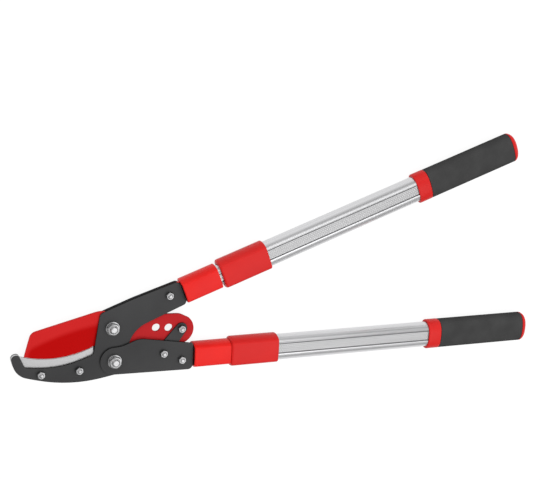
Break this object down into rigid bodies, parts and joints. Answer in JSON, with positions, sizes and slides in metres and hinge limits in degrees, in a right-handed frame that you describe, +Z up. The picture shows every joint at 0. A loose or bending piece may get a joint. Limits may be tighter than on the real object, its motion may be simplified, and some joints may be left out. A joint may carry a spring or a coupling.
{
  "type": "telescopic lopper",
  "caption": "Long-handled anvil lopper with a compound head, whose outer handles slide out along oval tubes and lock with rockers.",
  "frame": {"origin": "on the handle pivot's axis, at the underside of its bolt's head, in the plane that the lopper lies on", "axes": "+X from the jaw to the grips, midway between the handles; +Y from the lower handle to the upper one; +Z up, out of the side with the nuts"},
  "size_m": [0.645, 0.2737, 0.0271],
  "materials": {
    "black_steel": "satin black coat on sheet steel",
    "red_coat": "red non-stick coat on blade steel",
    "red_plastic": "moulded, half gloss",
    "bare_aluminium": "satin, as extruded or cast",
    "bright_steel": "bright zinc plate",
    "dark_nylon": "plain moulded",
    "soft_grip": "matte foam"
  },
  "bodies": {
    "body": {"body_plate_front": "black_steel", "body_plate_rear": "black_steel", "anvil": "bare_aluminium", "anvil_front_bolt": "bright_steel", "anvil_front_nut": "bright_steel", "anvil_back_bolt": "bright_steel", "anvil_back_nut": "bright_steel", "blade_pivot_bolt": "bright_steel", "blade_pivot_washer": "bright_steel", "blade_pivot_nut": "bright_steel", "blade_pivot_bush": "bright_steel", "handle_pivot_bolt": "bright_steel", "handle_pivot_washer": "bright_steel", "handle_pivot_nut": "bright_steel", "handle_pivot_bush": "bright_steel", "upper_socket": "red_plastic", "upper_socket_bolt": "bright_steel", "upper_socket_nut": "bright_steel", "upper_inner_tube": "bare_aluminium", "upper_end_bush": "dark_nylon"},
    "blade": {"blade": "red_coat"},
    "link": {"link_front": "black_steel", "link_rear": "black_steel", "link_tail_bolt": "bright_steel", "link_tail_nut": "bright_steel"},
    "lower_handle": {"handle_plate_front": "black_steel", "handle_plate_rear": "black_steel", "link_pivot_bolt": "bright_steel", "link_pivot_nut": "bright_steel", "link_pivot_spacer": "bright_steel", "lower_socket": "red_plastic", "lower_socket_bolt": "bright_steel", "lower_socket_nut": "bright_steel", "lower_inner_tube": "bare_aluminium", "lower_end_bush": "dark_nylon"},
    "upper_slider": {"upper_collar": "red_plastic", "upper_lock_pin": "bright_steel", "upper_lock_spring": "bright_steel", "upper_outer_tube": "bare_aluminium", "upper_ring": "red_plastic", "upper_grip": "soft_grip", "upper_end_cap": "red_plastic"},
    "lower_slider": {"lower_collar": "red_plastic", "lower_lock_pin": "bright_steel", "lower_lock_spring": "bright_steel", "lower_outer_tube": "bare_aluminium", "lower_ring": "red_plastic", "lower_grip": "soft_grip", "lower_end_cap": "red_plastic"},
    "upper_lock": {"upper_lock": "red_plastic"},
    "lower_lock": {"lower_lock": "red_plastic"}
  },
  "joints": [
    {"name": "handle_swing", "type": "hinge", "parent": "body", "child": "lower_handle", "pos_m": [0, 0, 0.013], "axis": [0, 0, 1], "range_deg": [-50, 0]},
    {"name": "blade_swing", "type": "hinge", "parent": "body", "child": "blade", "pos_m": [0.0046, 0.0393, 0.013], "axis": [0, 0, 1], "range_deg": [-34.4, 0]},
    {"name": "link_swing", "type": "hinge", "parent": "lower_handle", "child": "link", "pos_m": [0.0577, -0.0058, 0.013], "axis": [0, 0, 1], "range_deg": [0, 54.45]},
    {"name": "upper_slide", "type": "slide", "parent": "body", "child": "upper_slider", "axis": [0.9836, 0.1805, 0], "range_m": [-0.003, 0.297]},
    {"name": "lower_slide", "type": "slide", "parent": "lower_handle", "child": "lower_slider", "axis": [0.9836, -0.1805, 0], "range_m": [0, 0.3]},
    {"name": "upper_lock_press", "type": "hinge", "parent": "upper_slider", "child": "upper_lock", "pos_m": [0.15629, 0.07328, 0.0021], "axis": [0.1805, -0.9836, 0], "range_deg": [0, 7], "stiffness_Nm_per_rad": 0.1, "springref_deg": -5.73, "deforming": ["upper_lock_spring"]},
    {"name": "lower_lock_press", "type": "hinge", "parent": "lower_slider", "child": "lower_lock", "pos_m": [0.15334, -0.03014, 0.0021], "axis": [-0.1805, -0.9836, 0], "range_deg": [0, 7], "stiffness_Nm_per_rad": 0.1, "springref_deg": -5.73, "deforming": ["lower_lock_spring"]}
  ],
  "couplings": [
    {"joint": "blade_swing", "follows": "handle_swing", "ratio": 0.68783},
    {"joint": "link_swing", "follows": "handle_swing", "ratio": -1.0888}
  ]
}
